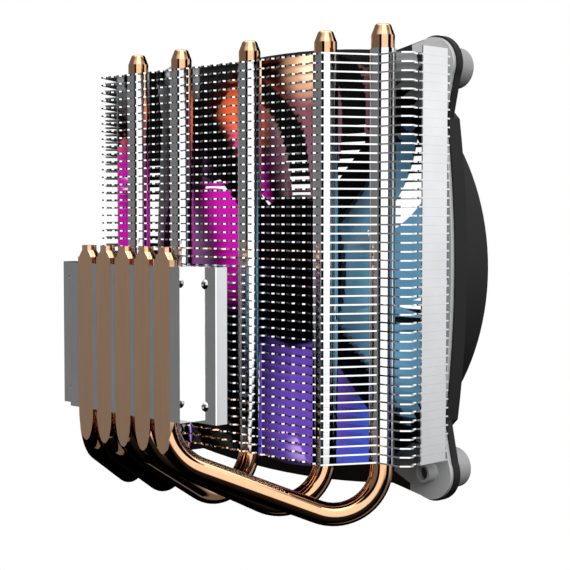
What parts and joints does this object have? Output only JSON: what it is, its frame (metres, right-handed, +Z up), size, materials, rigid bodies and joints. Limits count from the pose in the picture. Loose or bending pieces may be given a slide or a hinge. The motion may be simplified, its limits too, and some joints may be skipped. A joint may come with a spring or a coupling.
{
  "type": "down-draft cpu cooler",
  "caption": "Down-draft CPU cooler: copper heat pipes pressed into a flat aluminium base, folded under a toothed fin stack, with a slim lit fan behind.",
  "frame": {"origin": "centre of the flat contact face that sits on the processor", "axes": "+Z up along the fin stack as the cooler hangs on an upright board, -Y out of the contact face towards the processor, +Y towards the fan"},
  "size_m": [0.122, 0.0748, 0.1268],
  "materials": {
    "base_aluminium": "machined, satin",
    "screw_steel": "bright plated",
    "pipe_copper": "polished copper, milled on the contact face",
    "fin_aluminium": "bright rolled",
    "bracket_grey": "satin",
    "frame_black": "fine matt",
    "pad_rubber": "satin",
    "screw_black": "black zinc",
    "nylon_white": "natural",
    "bearing_bronze": "sintered",
    "board_green": "solder mask",
    "led_lens": "clear lens",
    "core_steel": "laminated",
    "coil_copper": "enamelled wire",
    "impeller_clear": "translucent moulding",
    "yoke_steel": "drawn",
    "magnet_dark": "bonded ferrite",
    "shaft_steel": "ground",
    "clip_steel": "spring steel"
  },
  "bodies": {
    "cooler": {"base_block": "base_aluminium", "base_screws": "screw_steel", "heat_pipe_1": "pipe_copper", "heat_pipe_2": "pipe_copper", "heat_pipe_3": "pipe_copper", "heat_pipe_4": "pipe_copper", "heat_pipe_5": "pipe_copper", "fins": "fin_aluminium", "fan_rail_left": "bracket_grey", "fan_rail_right": "bracket_grey", "fan_frame": "frame_black", "isolator_pad_lower_left": "pad_rubber", "isolator_pad_upper_left": "pad_rubber", "isolator_pad_lower_right": "pad_rubber", "isolator_pad_upper_right": "pad_rubber", "fan_screws": "screw_black", "thrust_pad": "nylon_white", "bearing_sleeve": "bearing_bronze", "driver_board": "board_green", "leds": "led_lens", "stator_core": "core_steel", "stator_coils": "coil_copper"},
    "rotor": {"impeller": "impeller_clear", "rotor_yoke": "yoke_steel", "magnet_ring": "magnet_dark", "shaft": "shaft_steel", "shaft_clip": "clip_steel"}
  },
  "joints": [
    {"name": "fan_spin", "type": "hinge", "parent": "cooler", "child": "rotor", "pos_m": [0, 0.068, 0.0176], "axis": [0, -1, 0], "continuous": true}
  ]
}
